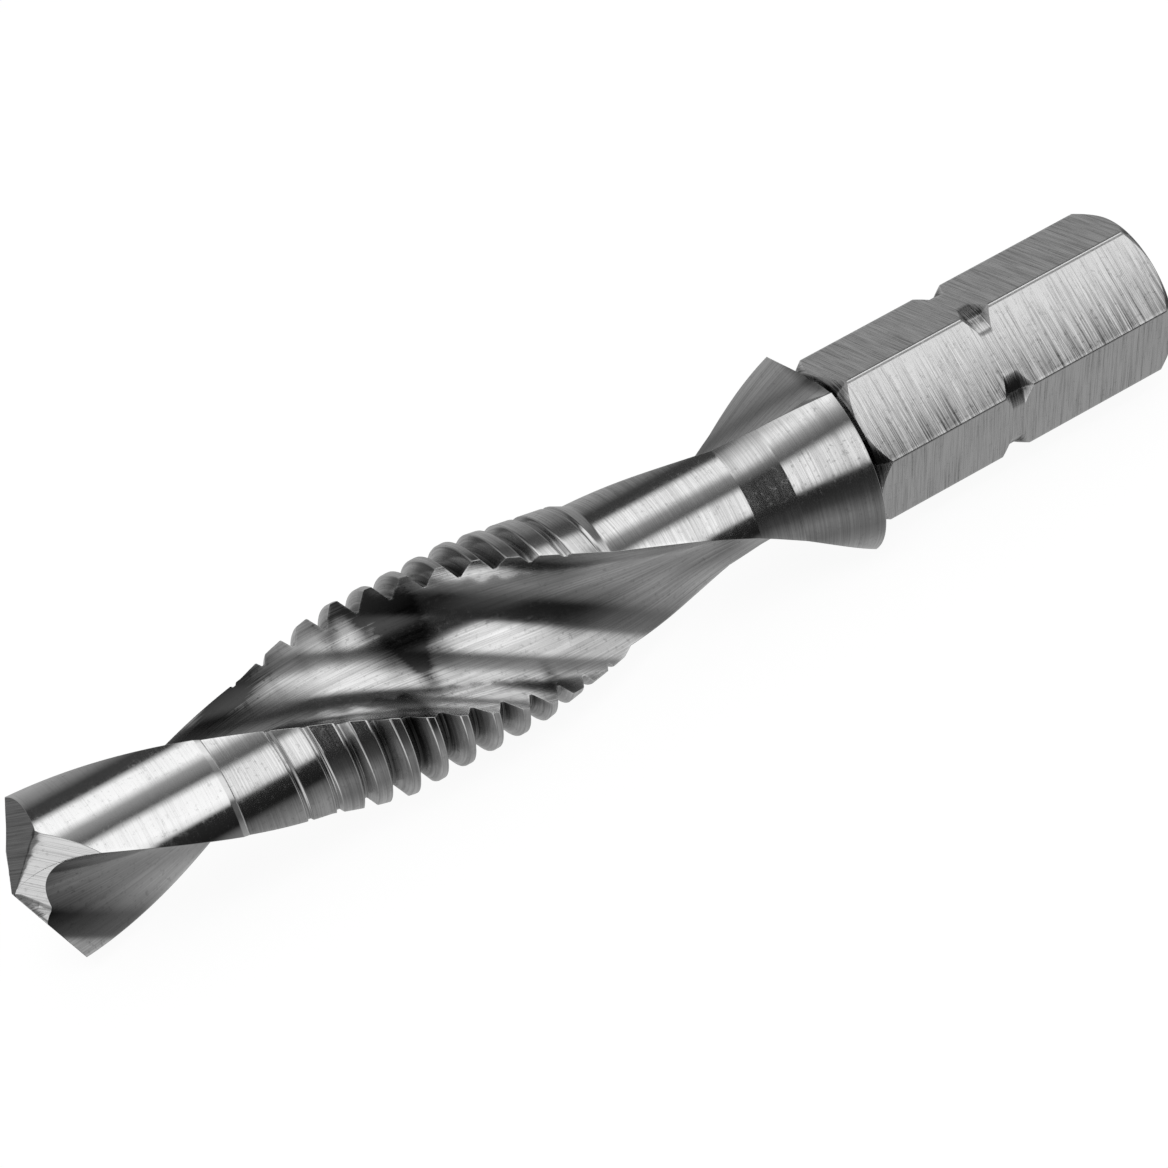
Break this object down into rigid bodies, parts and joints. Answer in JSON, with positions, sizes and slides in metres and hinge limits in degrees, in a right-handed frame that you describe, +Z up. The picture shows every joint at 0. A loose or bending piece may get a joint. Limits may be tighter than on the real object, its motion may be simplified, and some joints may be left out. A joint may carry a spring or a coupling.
{
  "type": "drill tap bit",
  "caption": "One-piece drill and tap bit: split drill point, spiral-fluted tapered thread, collar and notched hexagon shank for a bit holder.",
  "frame": {"origin": "centre of the bounding box on the surface that the bit lies on", "axes": "+X along the tool axis from the drill point to the shank, +Z up from the surface that the bit lies on"},
  "size_m": [0.052, 0.0088, 0.008],
  "materials": {
    "ground_steel": "bright ground and turned high speed steel, fine grinding lines"
  },
  "bodies": {
    "root": {"drill_tap_bit": "ground_steel"}
  },
  "joints": []
}
